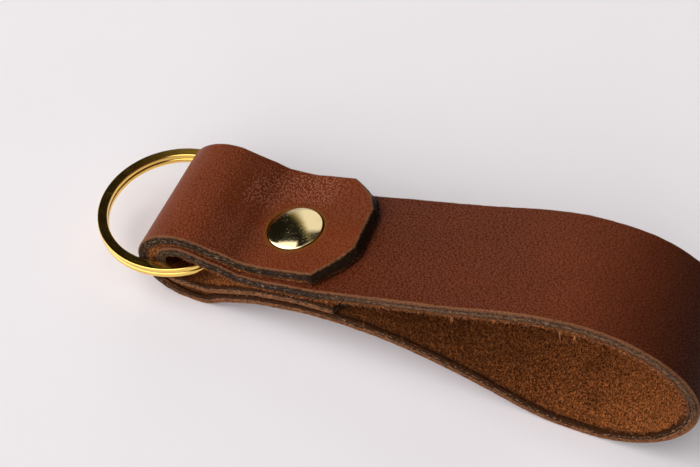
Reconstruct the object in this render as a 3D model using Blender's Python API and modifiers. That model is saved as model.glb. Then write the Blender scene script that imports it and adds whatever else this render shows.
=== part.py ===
# A loop key fob: one folded leather strap, a four-piece double cap rivet and a flat split ring.
# It lies on a table at z = 0. X runs from the ring to the closed end of the loop, Y across the
# strap. The origin is on the table under the middle of the whole.
import math

import bmesh
import bpy
from mathutils import Matrix, Vector

# Leather strip
STRAP_WIDTH = 0.0254
LEATHER = 0.0024
PLY_GAP = 0.00015  # air left between two layers that the rivet presses together
CORNER_ALONG = 0.0064  # the corners cut off the flap's tip, along the strap and across it
CORNER_ACROSS = 0.0078
CORNER_BEND_SHARES = (0.31, 0.52)  # of both: where each corner's two straight cuts meet
FLAP_DRIFT = 0.0016  # how far the flap's tip wanders to +Y
FLAP_DRIFT_RUN = 0.058  # length of strip over which it wanders
STRAP_SIDE = -0.0005  # the strap's middle, from the middle of the ring

# The folded strip from the side. Reaches run along X from the rivet's seat.
NOSE_REACH = 0.01103  # to the ring's inner end, which the leather nips
FLAP_REACH = 0.0127  # to the flap's tip
TAB_REACH = 0.0128  # to the cut end inside the loop
LOOP_REACH = 0.0793  # to the closed end of the loop
LOOP_HEIGHT = 0.03075
ARCH_HEIGHT = 0.0083  # underside of the strap above the table between its two rests
FOLD_REST = 0.0024  # flat stretch on the table under the ring's fold
LOOP_REST = 0.004  # flat stretch on the table under the loop
FOLD_SLACK = 0.0012  # between the two lowest layers at the ring's fold
WEDGE_SLACK = 0.0009  # between the two middle layers just before the rivet
FLAP_LIFT = 0.0003  # how far the flap's tip stands off the strap
RIVET_LEAN = math.radians(15)

# Knots on the ring's fold: shares of its reach
FOLD_TOP_SHARE = 0.63
FOLD_REST_SHARE = 0.615
TAB_REST_SHARE = 0.715
INNER_FOLD_SHARES = (0.6, 0.4)  # of the tunnel's height: where the ring bears on the inner fold

# Knots on the underside near the rivet: shares of NOSE_REACH and of ARCH_HEIGHT, and slopes
NIP_SHARES = (0.816, 0.36)
NIP_SLOPE = math.radians(25)
DIP_SHARES = (0.318, 0.64)
DIP_SLOPE = math.radians(21)
SEAT_SHARES = (0.226, 0.83)
UPPER_DIP_SLOPE = math.radians(2)
UPPER_NIP_SLOPE = math.radians(-4)

# Knots on the loop: shares of LOOP_REACH and of a height, and slopes
ARCH_SHARE = 0.214
DESCENT_SHARES = (0.504, 0.53)  # of ARCH_HEIGHT
DESCENT_SLOPE = math.radians(-15.5)
LOOP_REST_SHARE = 0.725
LOOP_END_SHARE = 0.494  # of LOOP_HEIGHT
LOOP_TOP_SHARE = 0.725
RISE_SHARES = (0.479, 0.711)  # of the climb from the rivet to LOOP_HEIGHT
RISE_SLOPE = math.radians(21)
LEAVE_SHARES = (0.12, 0.128)
LEAVE_SLOPE = math.radians(20)

# Split ring: one flat-sided wire wound twice
RING_ROOM = 0.0026  # how much wider the ring is inside than the strap
RING_TILT = math.radians(6)  # the free end hangs lower
RING_ROLL = math.radians(1.5)  # the far side lies higher
WIRE_WIDTH = 0.002
WIRE_HEIGHT = 0.00125
WIRE_ROUND = 0.00025
RING_SEAM = 0.0001
JOG_START = math.radians(-50)
JOG_SPAN = math.radians(40)
JOG_END_GAP = math.radians(2)
NIP_UNDER = 0.0007  # air under the ring's inner end
NIP_OVER = 0.0003  # air over it
TUNNEL_HEIGHT = 0.0064  # inside the fold, where the ring passes
RING_SIDE_ROOM = 0.0007  # between the inner fold and the ring where it passes the strap's edge
FOLDS_APART = 0.0012  # between the outer and the inner fold at the closed end

# Double cap rivet: two domes, each crimped round a flange, one with a tube and one with a post
CAP_DIAMETER = 0.011
CAP_RISE = 0.00055  # of the dome over the cap's side
CAP_WALL = 0.00035
CAP_LIP = 0.0012  # how far the crimped edge turns in under the flange
RIVET_SIDE = -0.0009  # the rivet's middle, from the strap's middle
CAP_SINK = 0.0012  # how far each cap is pressed into the leather
FLANGE_WALL = 0.0004
TUBE_DIAMETER = 0.0044
TUBE_WALL = 0.0004
POST_HEAD = 0.0003  # height of the post's spread end
POST_HEAD_LAP = 0.0004  # how far it lies over the tube's mouth
RIVET_FIT = 0.00015  # air between the rivet's own pieces
LEATHER_FIT = 0.0002  # air between the rivet and the leather

# How finely curves are divided
LONGEST_STEP = 0.0023
TURN_STEP = math.radians(9)
RING_STEP = math.radians(5)
ROUND_STEPS = 48
DOME_STEPS = 7
CUT_MARGIN = 0.002
MERGE_LIMIT = 0.000001


def clear_scene():
    for obj in list(bpy.data.objects):
        bpy.data.objects.remove(obj, do_unlink=True)


def new_collection(name):
    collection = bpy.data.collections.new(name)
    bpy.context.scene.collection.children.link(collection)
    return collection


def new_material(name, colour, roughness, metallic):
    made = bpy.data.materials.new(name)
    made.use_nodes = True
    shader = made.node_tree.nodes["Principled BSDF"]
    shader.inputs["Base Color"].default_value = (*colour, 1.0)
    shader.inputs["Roughness"].default_value = roughness
    shader.inputs["Metallic"].default_value = metallic
    made.diffuse_color = (*colour, 1.0)
    return made


def add_object(name, data, collection, finish=None):
    obj = bpy.data.objects.new(name, data)
    collection.objects.link(obj)
    if finish:
        data.materials.append(finish)
    return obj


class Knot:
    """A point of the strip's grain side in the XZ plane, with the strip's heading there."""

    def __init__(self, x, z, heading):
        self.at = Vector((x, z))
        self.heading = heading

    def direction(self):
        return Vector((math.cos(self.heading), math.sin(self.heading)))

    def above(self, height):
        """This knot moved square to its heading."""
        side = Vector((-math.sin(self.heading), math.cos(self.heading)))
        place = self.at + side * height
        return Knot(place.x, place.y, self.heading)

    def back(self):
        """The same place, passed the other way."""
        return Knot(self.at.x, self.at.y, self.heading + math.pi)


def curve_between(start, end):
    """Points from one knot to just before the next, round where they are a quarter turn apart."""
    span = end.at - start.at
    turn = (end.heading - start.heading + math.pi) % (2 * math.pi) - math.pi
    handle_share = 1 / 3
    if abs(turn) > TURN_STEP:
        handle_share = 4 / 3 * math.tan(abs(turn) / 4) / math.sin(abs(turn))
    first = start.at + start.direction() * span.dot(start.direction()) * handle_share
    second = end.at - end.direction() * span.dot(end.direction()) * handle_share
    steps = max(2, math.ceil(span.length / LONGEST_STEP), math.ceil(abs(turn) / TURN_STEP))
    points = []
    for step in range(steps):
        t = step / steps
        u = 1 - t
        points.append(
            start.at * u**3 + first * 3 * u * u * t + second * 3 * u * t * t + end.at * t**3
        )
    return points


def ring_height():
    return 2 * WIRE_HEIGHT + RING_SEAM


def ring_diameter():
    return STRAP_WIDTH + RING_ROOM + 2 * WIRE_WIDTH


def ring_reach():
    """From the rivet's seat to the ring's free end."""
    across = (ring_diameter() - WIRE_WIDTH / 2) * math.cos(RING_TILT)
    return NOSE_REACH + across + ring_height() / 2 * math.sin(RING_TILT)


def fold_reach():
    """From the rivet's seat to the closed end, which leaves the ring its room in the tunnel."""
    bore = ring_diameter() / 2 - WIRE_WIDTH
    edge = STRAP_WIDTH / 2 + abs(STRAP_SIDE)
    passing = (ring_diameter() - WIRE_WIDTH) / 2 - math.sqrt(bore**2 - edge**2)
    inner_face = NOSE_REACH + passing * math.cos(RING_TILT) + RING_SIDE_ROOM
    return inner_face + 2 * LEATHER + FOLDS_APART


def seat_knots():
    """The strap's underside under the ring's inner end, before the rivet and at the rivet."""
    nip = Knot(-NOSE_REACH * NIP_SHARES[0], ARCH_HEIGHT * NIP_SHARES[1], NIP_SLOPE)
    dip = Knot(-NOSE_REACH * DIP_SHARES[0], ARCH_HEIGHT * DIP_SHARES[1], DIP_SLOPE)
    seat = Knot(NOSE_REACH * SEAT_SHARES[0], ARCH_HEIGHT * SEAT_SHARES[1], RIVET_LEAN)
    return nip, dip, seat


def ring_nose_z():
    """Middle of the ring's height at its inner end, over the layer that it lies on."""
    tab_top = seat_knots()[0].above(2 * LEATHER + PLY_GAP)
    end_x = -NOSE_REACH + WIRE_WIDTH / 2
    floor = tab_top.at.y + (end_x - tab_top.at.x) * math.tan(NIP_SLOPE)
    return floor + NIP_UNDER + ring_height() / 2


def upper_knots():
    """The strap's upper layer at the ring's fold, over the ring's inner end and at the rivet."""
    _, dip, seat = seat_knots()
    height = ring_nose_z() + ring_height() / 2 + NIP_OVER + LEATHER
    nip = Knot(-NOSE_REACH, height, UPPER_NIP_SLOPE)
    dip = dip.above(3 * LEATHER + 2 * PLY_GAP + WEDGE_SLACK)
    dip.heading = UPPER_DIP_SLOPE
    seat = seat.above(3 * LEATHER + 2 * PLY_GAP)
    top = 3 * LEATHER + PLY_GAP + FOLD_SLACK + TUNNEL_HEIGHT
    fold = Knot(-fold_reach() * FOLD_TOP_SHARE, top, 0)
    return fold, nip, dip, seat


def rise_knots():
    """The loop's top side where it climbs away from the rivet, and further up."""
    seat = upper_knots()[-1]
    climb = LOOP_HEIGHT - seat.at.y
    return [
        Knot(LOOP_REACH * share_x, seat.at.y + climb * share_z, slope)
        for (share_x, share_z), slope in ((LEAVE_SHARES, LEAVE_SLOPE), (RISE_SHARES, RISE_SLOPE))
    ]


def flap_knots():
    """The flap from its tip back to the ring's fold, one layer over the upper layer."""
    over = [knot.above(LEATHER + PLY_GAP) for knot in upper_knots()]
    end = rise_knots()[0].above(LEATHER + PLY_GAP + FLAP_LIFT)
    height = end.at.y + (FLAP_REACH - end.at.x) * math.tan(LEAVE_SLOPE)
    tip = Knot(FLAP_REACH, height, LEAVE_SLOPE)
    return [knot.back() for knot in [tip] + over[::-1]]


def loop_knots():
    """The underside past the rivet, the closed end and the top, down to the rivet again."""
    rest_x = LOOP_REACH * LOOP_REST_SHARE
    low_x, low_z = LOOP_REACH * DESCENT_SHARES[0], ARCH_HEIGHT * DESCENT_SHARES[1]
    return [
        Knot(LOOP_REACH * ARCH_SHARE, ARCH_HEIGHT, 0),
        Knot(low_x, low_z, DESCENT_SLOPE),
        Knot(rest_x, 0, 0),
        Knot(rest_x + LOOP_REST, 0, 0),
        Knot(LOOP_REACH, LOOP_HEIGHT * LOOP_END_SHARE, math.pi / 2),
        Knot(LOOP_REACH * LOOP_TOP_SHARE, LOOP_HEIGHT, math.pi),
    ] + [knot.back() for knot in rise_knots()[::-1]]


def tab_knots():
    """The lowest knots of the tab that the upper layer turns into, up to its cut end."""
    ply = LEATHER + PLY_GAP
    nip, dip, seat = seat_knots()
    rest_ends = (-fold_reach() * TAB_REST_SHARE, -fold_reach() * FOLD_REST_SHARE + FOLD_REST / 2)
    rest = [Knot(x, ply + FOLD_SLACK, 0) for x in rest_ends]
    arch_run = LOOP_REACH * ARCH_SHARE - seat.at.x
    left_share = (LOOP_REACH * ARCH_SHARE - TAB_REACH) / arch_run
    height = ARCH_HEIGHT - (ARCH_HEIGHT - seat.at.y) * left_share**2
    end = Knot(TAB_REACH, height, RIVET_LEAN * left_share)
    return rest + [knot.above(ply) for knot in (nip, dip, seat, end)]


def strip_points():
    """The grain side of the whole strip, from the flap's tip to the tab's cut end."""
    flap = flap_knots()
    outer_fold = Knot(-fold_reach(), flap[-1].at.y / 2, -math.pi / 2)
    rest_x = -fold_reach() * FOLD_REST_SHARE
    rest = [Knot(rest_x, 0, 0), Knot(rest_x + FOLD_REST, 0, 0)]
    upper = [knot.back() for knot in upper_knots()[::-1]]
    tab = tab_knots()
    inner_x = -fold_reach() + LEATHER + FOLDS_APART
    inner_height = upper[-1].at.y - tab[0].at.y
    inner_fold = [
        Knot(inner_x, tab[0].at.y + inner_height * share, -math.pi / 2)
        for share in INNER_FOLD_SHARES
    ]
    knots = flap + [outer_fold] + rest + list(seat_knots()) + loop_knots() + upper
    knots += inner_fold + tab
    points = []
    for start, end in zip(knots, knots[1:]):
        points += curve_between(start, end)
    return points + [knots[-1].at]


def place(x, y, z):
    """A point given from the rivet's seat and the ring's middle, in the object's own frame."""
    middle = (LOOP_REACH - ring_reach()) / 2
    return Vector((x - middle, y, z))


def corner_points():
    """The cut corner from the flap's end to its side: along the strap, and from its middle."""
    inner = STRAP_WIDTH / 2 - CORNER_ACROSS
    along, across = CORNER_BEND_SHARES
    shares = ((0, 0), (along, across), (1, 1))
    return [Vector((CORNER_ALONG * x, inner + CORNER_ACROSS * y)) for x, y in shares]


def build_strap(collection, cutters, finish):
    points = strip_points()
    lengths = [0.0]
    for a, b in zip(points, points[1:]):
        lengths.append(lengths[-1] + (b - a).length)

    # The strip laid flat as it is cut: X is the length along it
    bm = bmesh.new()
    bmesh.ops.create_grid(bm, x_segments=len(points) - 1, y_segments=2, size=1)
    for vert in bm.verts:
        row = round((vert.co.x + 1) / 2 * (len(points) - 1))
        vert.co = Vector((lengths[row], vert.co.y * STRAP_WIDTH / 2, 0))
    for side in (-1, 1):
        for start, end in zip(corner_points(), corner_points()[1:]):
            bmesh.ops.bisect_plane(
                bm,
                geom=bm.verts[:] + bm.edges[:] + bm.faces[:],
                plane_co=Vector((start.x, side * start.y, 0)),
                plane_no=Vector((start.y - end.y, side * (end.x - start.x), 0)),
                clear_outer=True,
            )
    bmesh.ops.reverse_faces(bm, faces=bm.faces[:])

    # Folded: each length along the strip goes to its place on the route
    for vert in bm.verts:
        length = min(vert.co.x, lengths[-1])
        row = 0
        while row < len(points) - 2 and lengths[row + 1] < length:
            row += 1
        share = (length - lengths[row]) / (lengths[row + 1] - lengths[row])
        x, z = points[row].lerp(points[row + 1], share)
        drift = FLAP_DRIFT * max(0.0, 1 - length / FLAP_DRIFT_RUN)
        vert.co = place(x, vert.co.y + STRAP_SIDE + drift, z)
    mesh = bpy.data.meshes.new("leather_strap")
    bm.to_mesh(mesh)
    bm.free()
    mesh.shade_smooth()
    mesh.set_sharp_from_angle(angle=math.radians(40))
    strap = add_object("leather_strap", mesh, collection, finish)
    thick = strap.modifiers.new("Leather", "SOLIDIFY")
    thick.thickness = LEATHER
    thick.offset = -1
    thick.use_even_offset = True
    for cutter in cutters:
        cut = strap.modifiers.new(cutter.name, "BOOLEAN")
        cut.operation = "DIFFERENCE"
        cut.object = cutter


def turned(name, profile, collection, finish=None):
    """A solid of revolution about Z from (radius, height) pairs that run up its outer side."""
    mesh = bpy.data.meshes.new(name)
    verts = [(radius, 0, height) for radius, height in profile]
    edges = [(i, i + 1) for i in range(len(verts) - 1)]
    if profile[0][0] > 0:
        edges.append((len(verts) - 1, 0))
    mesh.from_pydata(verts, edges, [])
    obj = add_object(name, mesh, collection, finish)
    screw = obj.modifiers.new("Turn", "SCREW")
    screw.steps = screw.render_steps = ROUND_STEPS
    screw.use_merge_vertices = True
    screw.merge_threshold = MERGE_LIMIT
    screw.use_normal_flip = True
    screw.use_smooth_shade = True
    return obj


def rivet_frame(height):
    """The rivet's axis as +Z, with its origin so far over the underside of the layers."""
    seat = seat_knots()[-1]
    turn = Matrix.Rotation(-RIVET_LEAN, 4, "Y")
    foot = place(seat.at.x, STRAP_SIDE + RIVET_SIDE, seat.at.y)
    return Matrix.Translation(foot) @ turn @ Matrix.Translation((0, 0, height))


def cap_side():
    """Height of a cap's side, from its lip to where the dome starts."""
    return 2 * CAP_WALL + 2 * RIVET_FIT + FLANGE_WALL


def seats_apart():
    """Between the two caps' lips, which each stand a little off the leather."""
    return 4 * LEATHER + 3 * PLY_GAP - 2 * CAP_SINK + 2 * LEATHER_FIT


def cap_profile():
    radius = CAP_DIAMETER / 2
    outer, inner = [], []
    for step in range(DOME_STEPS + 1):
        angle = math.pi / 2 * step / DOME_STEPS
        rise = CAP_RISE * math.sin(angle)
        outer.append((radius * math.cos(angle), cap_side() + rise))
        inner.append(((radius - CAP_WALL) * math.cos(angle), cap_side() - CAP_WALL + rise))
    outer[-1] = (0, outer[-1][1])
    inner[-1] = (0, inner[-1][1])
    mouth = radius - CAP_LIP
    lip = [(mouth, CAP_WALL), (mouth, 0), (radius - CAP_WALL, 0), (radius, CAP_WALL)]
    return inner[::-1] + [(radius - CAP_WALL, CAP_WALL)] + lip + outer


def socket_profile():
    tube = TUBE_DIAMETER / 2
    flange = CAP_DIAMETER / 2 - CAP_WALL - RIVET_FIT
    floor = CAP_WALL + RIVET_FIT
    end = -seats_apart() - CAP_WALL
    return [
        (tube - TUBE_WALL, end),
        (tube, end),
        (tube, floor),
        (flange, floor),
        (flange, floor + FLANGE_WALL),
        (tube - TUBE_WALL, floor + FLANGE_WALL),
    ]


def post_profile():
    """From the lower cap's lip plane, with +Z down through that cap."""
    post = TUBE_DIAMETER / 2 - TUBE_WALL - RIVET_FIT
    flange = CAP_DIAMETER / 2 - CAP_WALL - RIVET_FIT
    floor = CAP_WALL + RIVET_FIT
    neck = -seats_apart() - floor - FLANGE_WALL - RIVET_FIT
    head = post + RIVET_FIT + POST_HEAD_LAP
    return [
        (0, neck - POST_HEAD),
        (head - POST_HEAD / 2, neck - POST_HEAD),
        (head, neck - POST_HEAD / 2),
        (head, neck),
        (post, neck),
        (post, floor),
        (flange, floor),
        (flange, floor + FLANGE_WALL),
        (0, floor + FLANGE_WALL),
    ]


def build_rivet(collection, finish):
    lower_seat = CAP_SINK - LEATHER_FIT
    upper = rivet_frame(lower_seat + seats_apart())
    lower = rivet_frame(lower_seat) @ Matrix.Rotation(math.pi, 4, "X")
    turned("rivet_top_cap", cap_profile(), collection, finish).matrix_world = upper
    turned("rivet_socket", socket_profile(), collection, finish).matrix_world = upper
    turned("rivet_post", post_profile(), collection, finish).matrix_world = lower
    turned("rivet_bottom_cap", cap_profile(), collection, finish).matrix_world = lower


def build_rivet_cutter(collection):
    """The hole through all four layers, with a recess at each end that a cap is pressed into."""
    bore = TUBE_DIAMETER / 2 + LEATHER_FIT
    recess = CAP_DIAMETER / 2 + LEATHER_FIT
    bottom, top = CAP_SINK, 4 * LEATHER + 3 * PLY_GAP - CAP_SINK
    profile = [
        (0, -CUT_MARGIN),
        (recess, -CUT_MARGIN),
        (recess, bottom),
        (bore, bottom),
        (bore, top),
        (recess, top),
        (recess, top + CAP_SINK + CUT_MARGIN),
        (0, top + CAP_SINK + CUT_MARGIN),
    ]
    cutter = turned("rivet_hole", profile, collection)
    cutter.matrix_world = rivet_frame(0)
    cutter.hide_render = True
    cutter.display_type = "WIRE"
    return cutter


def wire_section(collection):
    """The wire's flat-sided section, with its corners cut off."""
    half_w, half_h = WIRE_WIDTH / 2, WIRE_HEIGHT / 2
    corners = []
    for sign_x, sign_y in ((1, 1), (1, -1), (-1, -1), (-1, 1)):
        pair = [
            (sign_x * half_w, sign_y * (half_h - WIRE_ROUND)),
            (sign_x * (half_w - WIRE_ROUND), sign_y * half_h),
        ]
        corners += pair[::-1] if sign_x == sign_y else pair
    curve = bpy.data.curves.new("wire_section", "CURVE")
    curve.dimensions = "2D"
    curve.fill_mode = "NONE"
    spline = curve.splines.new("POLY")
    spline.points.add(len(corners) - 1)
    for point, (x, y) in zip(spline.points, corners):
        point.co = (x, y, 0, 1)
    spline.use_cyclic_u = True
    section = add_object("wire_section", curve, collection)
    section.hide_render = True
    return section


def build_ring(collection, guides, finish):
    """Two turns of wire, the lower joined to the upper by a short climb. Its origin is at its
    inner end, where the leather holds it and it rocks."""
    radius = (ring_diameter() - WIRE_WIDTH) / 2
    level = (WIRE_HEIGHT + RING_SEAM) / 2
    turns = 2 * 2 * math.pi - JOG_SPAN - 2 * JOG_END_GAP
    steps = round(turns / RING_STEP)
    climb_start = 2 * math.pi - JOG_SPAN - JOG_END_GAP
    curve = bpy.data.curves.new("split_ring", "CURVE")
    curve.dimensions = "3D"
    curve.twist_mode = "Z_UP"
    spline = curve.splines.new("POLY")
    spline.points.add(steps)
    for step, point in enumerate(spline.points):
        angle = turns * step / steps
        climb = min(1.0, max(0.0, (angle - climb_start) / JOG_SPAN))
        around = JOG_START + JOG_SPAN + JOG_END_GAP + angle
        height = level * (2 * climb - 1)
        point.co = (radius * (math.cos(around) - 1), radius * math.sin(around), height, 1)
    curve.bevel_mode = "OBJECT"
    curve.bevel_object = wire_section(guides)
    curve.use_fill_caps = True
    ring = add_object("split_ring", curve, collection, finish)
    lean = Matrix.Rotation(-RING_TILT, 4, "Y") @ Matrix.Rotation(RING_ROLL, 4, "X")
    ring.matrix_world = Matrix.Translation(place(-NOSE_REACH, 0, ring_nose_z())) @ lean


def main():
    clear_scene()
    parts = new_collection("loop_keychain")
    helpers = new_collection("helpers")
    leather = new_material("Leather", (0.16, 0.042, 0.02), 0.5, 0.0)
    brass = new_material("Brass", (0.80, 0.58, 0.22), 0.18, 1.0)
    gold = new_material("Gold plate", (0.90, 0.62, 0.16), 0.14, 1.0)
    cutter = build_rivet_cutter(helpers)
    build_strap(parts, [cutter], leather)
    build_rivet(parts, brass)
    build_ring(parts, helpers, gold)


main()
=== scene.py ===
# Leather loop key fob: one folded strap, a double cap rivet and a flat split ring.
# Sizes are in millimetres where no note says otherwise, and Blender is given metres.
import math
import random

import bpy
import numpy as np
from mathutils import Matrix, Vector, noise


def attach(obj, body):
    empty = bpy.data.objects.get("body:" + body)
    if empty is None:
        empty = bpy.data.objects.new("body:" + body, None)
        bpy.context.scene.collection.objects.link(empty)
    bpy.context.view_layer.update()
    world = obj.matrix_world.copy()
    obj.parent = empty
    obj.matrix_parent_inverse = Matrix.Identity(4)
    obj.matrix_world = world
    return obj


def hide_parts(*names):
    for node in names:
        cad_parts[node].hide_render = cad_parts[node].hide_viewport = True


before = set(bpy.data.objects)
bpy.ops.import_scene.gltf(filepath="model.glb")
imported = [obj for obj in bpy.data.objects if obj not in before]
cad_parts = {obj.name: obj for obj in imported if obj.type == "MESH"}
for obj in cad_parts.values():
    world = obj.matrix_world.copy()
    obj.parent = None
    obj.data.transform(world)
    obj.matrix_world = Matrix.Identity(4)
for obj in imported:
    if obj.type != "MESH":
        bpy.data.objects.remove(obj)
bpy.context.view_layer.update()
mm = 0.001
seamGap = 0.002 * mm  # points this close become one
hair = 0.05  # what lies this close to a face or an edge counts as on it
random.seed(11)


def dropSelection():
    if bpy.context.object and bpy.context.object.mode != "OBJECT":
        bpy.ops.object.mode_set(mode="OBJECT")
    bpy.ops.object.select_all(action="DESELECT")


def makeActive(obj):
    dropSelection()
    obj.select_set(True)
    bpy.context.view_layer.objects.active = obj


def applyModifier(obj, kind, **settings):
    makeActive(obj)
    modifier = obj.modifiers.new(kind.title(), kind)
    for name, value in settings.items():
        setattr(modifier, name, value)
    bpy.ops.object.modifier_apply(modifier=modifier.name)


def applyPlace(obj):
    makeActive(obj)
    bpy.ops.object.transform_apply(location=True, rotation=True, scale=True)


def readPoints(mesh):
    points = np.zeros(len(mesh.vertices) * 3)
    mesh.vertices.foreach_get("co", points)
    return points.reshape(-1, 3)


def writePoints(mesh, points):
    mesh.vertices.foreach_set("co", points.astype(np.float32).ravel())
    mesh.update()


def easeBetween(value, low, high):
    share = np.clip((value - low) / (high - low), 0, 1)
    return share * share * (3 - 2 * share)


def feed(sockets, values):
    for name, value in values.items():
        if isinstance(value, bpy.types.NodeSocket):
            value.id_data.links.new(value, sockets[name])
        else:
            sockets[name].default_value = value


def put(tree, kind, inputs=None, **settings):
    node = tree.nodes.new("ShaderNode" + kind)
    for name, value in settings.items():
        setattr(node, name, value)
    feed(node.inputs, inputs or {})
    return node


# Adds a node to the tree that its inputs come from
def follow(kind, inputs, **settings):
    tree = next(value.id_data for value in inputs.values() if isinstance(value, bpy.types.NodeSocket))
    return put(tree, kind, inputs, **settings)


def maths(operation, first, second=0.0):
    return follow("Math", {0: first, 1: second}, operation=operation).outputs[0]


def times(first, *others):
    for other in others:
        first = maths("MULTIPLY", first, other)
    return first


def plus(first, second):
    return maths("ADD", first, second)


def minus(first, second):
    return maths("SUBTRACT", first, second)


def highest(first, second):
    return maths("MAXIMUM", first, second)


def vectorMaths(operation, first, second):
    return follow("VectorMath", {0: first, 1: second}, operation=operation).outputs[0]


def scaled(vector, factor):
    return follow("VectorMath", {0: vector, "Scale": factor}, operation="SCALE").outputs[0]


def partsOf(vector):
    return follow("SeparateXYZ", {0: vector}).outputs


def opaque(colour):
    return colour if isinstance(colour, bpy.types.NodeSocket) else (*colour, 1)


def blendColour(share, first, second, how="MIX"):
    inputs = {0: share, 6: opaque(first), 7: opaque(second)}
    return follow("Mix", inputs, data_type="RGBA", blend_type=how).outputs[2]


def eased(value, low, high, start=0.0, end=1.0):
    inputs = {"Value": value, "From Min": low, "From Max": high, "To Min": start, "To Max": end}
    return follow("MapRange", inputs, interpolation_type="SMOOTHSTEP").outputs[0]


def within(value, rise, fall):
    return times(eased(value, *rise), eased(value, *fall))


def cloudy(place, scale, detail, roughness=0.5, output=0):
    inputs = {"Vector": place, "Scale": scale, "Detail": detail, "Roughness": roughness}
    return follow("TexNoise", inputs).outputs[output]


def wandering(place, scale, detail, reach):
    aside = vectorMaths("SUBTRACT", cloudy(place, scale, detail, output="Color"), (0.5, 0.5, 0.5))
    return vectorMaths("ADD", place, scaled(aside, reach))


def bumped(height, strength, distance=0.1 * mm):
    return follow("Bump", {"Height": height, "Strength": strength, "Distance": distance}).outputs[0]


def ramp(share, stops):
    stops = list(stops)
    node = follow("ValToRGB", {0: share})
    points = node.color_ramp.elements
    while len(points) < len(stops):
        points.new(1.0)
    for point, (position, colour) in zip(points, stops):
        point.position = position
        point.color = opaque(colour)
    return node.outputs[0]


def toned(colour, share=1):
    return tuple(c * share for c in colour)


def newMaterial(name):
    made = bpy.data.materials.new(name)
    made.use_nodes = True
    tree = made.node_tree
    tree.nodes.clear()
    shader = put(tree, "BsdfPrincipled")
    put(tree, "OutputMaterial", {0: shader.outputs[0]})
    return made, tree, shader


def setShader(shader, **values):
    feed(shader.inputs, {name.replace("_", " "): value for name, value in values.items()})


def newGroup(name, inputs, outputs):
    group = bpy.data.node_groups.new(name, "ShaderNodeTree")
    for label, kind, value in inputs:
        socket = group.interface.new_socket(label, in_out="INPUT", socket_type="NodeSocket" + kind)
        if value is not None:
            socket.default_value = value
    for label, kind in outputs:
        group.interface.new_socket(label, in_out="OUTPUT", socket_type="NodeSocket" + kind)
    start = group.nodes.new("NodeGroupInput")
    end = group.nodes.new("NodeGroupOutput")
    return group, start.outputs, end.inputs


def useGroup(group, **values):
    return follow("Group", values, node_tree=group).outputs


def addObject(name, data):
    obj = bpy.data.objects.new(name, data)
    bpy.context.scene.collection.objects.link(obj)
    return obj


def addGrid(name, columns, rows):
    dropSelection()
    bpy.ops.mesh.primitive_grid_add(x_subdivisions=columns, y_subdivisions=rows, size=1, location=(0, 0, 0))
    piece = bpy.context.object
    piece.name = name
    return piece, readPoints(piece.data)[:, :2] + 0.5


def mendNormals(obj, merge=0.0, flip=False):
    makeActive(obj)
    bpy.ops.object.mode_set(mode="EDIT")
    bpy.ops.mesh.select_all(action="SELECT")
    if merge:
        bpy.ops.mesh.remove_doubles(threshold=merge)
    if flip:
        bpy.ops.mesh.flip_normals()
    else:
        bpy.ops.mesh.normals_make_consistent(inside=False)
    bpy.ops.object.mode_set(mode="OBJECT")


view = {
    "place": (0.03495, -0.13498, 0.19261),  # metres
    "down": 50.84,
    "turn": 17.74,
    "roll": 3.95,
    "focal": 1203,  # in the photo's pixels
    "frameWidth": 700,
    "sensor": 36,
    "nearest": 0.01,  # metres
}


def aimCamera():
    down, turn, roll = (math.radians(view[name]) for name in ("down", "turn", "roll"))
    ahead = Vector((-math.sin(turn) * math.cos(down), math.cos(turn) * math.cos(down), -math.sin(down)))
    level = Vector((math.cos(turn), math.sin(turn), 0))
    over = level.cross(ahead)
    right = level * math.cos(roll) + over * math.sin(roll)
    up = over * math.cos(roll) - level * math.sin(roll)
    data = bpy.data.cameras.new("photoCamera")
    data.sensor_width = view["sensor"]
    data.lens = view["focal"] * view["sensor"] / view["frameWidth"]
    data.clip_start = view["nearest"]
    camera = addObject("photoCamera", data)
    turned = Matrix((right, up, -ahead)).transposed().to_4x4()
    camera.matrix_world = Matrix.Translation(view["place"]) @ turned
    bpy.context.scene.camera = camera


studio = {
    "floorColour": (0.865, 0.83, 0.845),
    "floorSize": 3.0,  # metres
    "horizon": (0.55, 0.525, 0.535),
    "dark": (0.009, 0.008, 0.005),
    "warmBorder": (0.31, 0.255, 0.105),
    "frontLow": (2.75, 2.76, 2.81),
    "frontHigh": (1.0, 0.98, 1.0),
    "overhead": (0.75, 0.74, 0.76),
    "backWall": (0.95, 0.93, 0.90),
    "rightSide": (0.045, 0.04, 0.036),
    # azimuths and elevations in degrees between which one colour turns into the next
    "wallFrom": (78, 90),
    "wallTo": (124, 133),
    "wallTop": (48, 57),
    "warmTo": (120, 129),
    "darkTo": (168, 176),
    "rightTo": (-78, -56),
    "lowTop": (46, 58),
    "overheadFrom": (70, 80),
    "horizonTo": (13, 4),
    "lamps": [
        # name, azimuth, elevation, metres away, wide and high, radiance, colour
        ("leftWindow", 192, 44, 1.3, 0.93, 0.97, 1.6, (1, 0.99, 0.975)),
    ],
    "blotches": (30.0, 3.0),
    "blotchSpan": (0.3, 0.7),
    "paleBlotch": 1.01,
    "paperGrain": (900.0, 2.0),
    "paperRelief": 0.08,
}


def towards(azimuth, elevation):
    a, e = math.radians(azimuth), math.radians(elevation)
    return Vector((math.cos(a) * math.cos(e), math.sin(a) * math.cos(e), math.sin(e)))


def addLamps():
    for name, azimuth, elevation, distance, width, height, radiance, colour in studio["lamps"]:
        data = bpy.data.lights.new(name, "AREA")
        data.shape = "RECTANGLE"
        data.size = width
        data.size_y = height
        data.energy = radiance * math.pi * width * height
        data.color = colour
        lamp = addObject(name, data)
        way = towards(azimuth, elevation)
        lamp.location = way * distance
        lamp.rotation_euler = way.to_track_quat("Z", "Y").to_euler()


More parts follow.
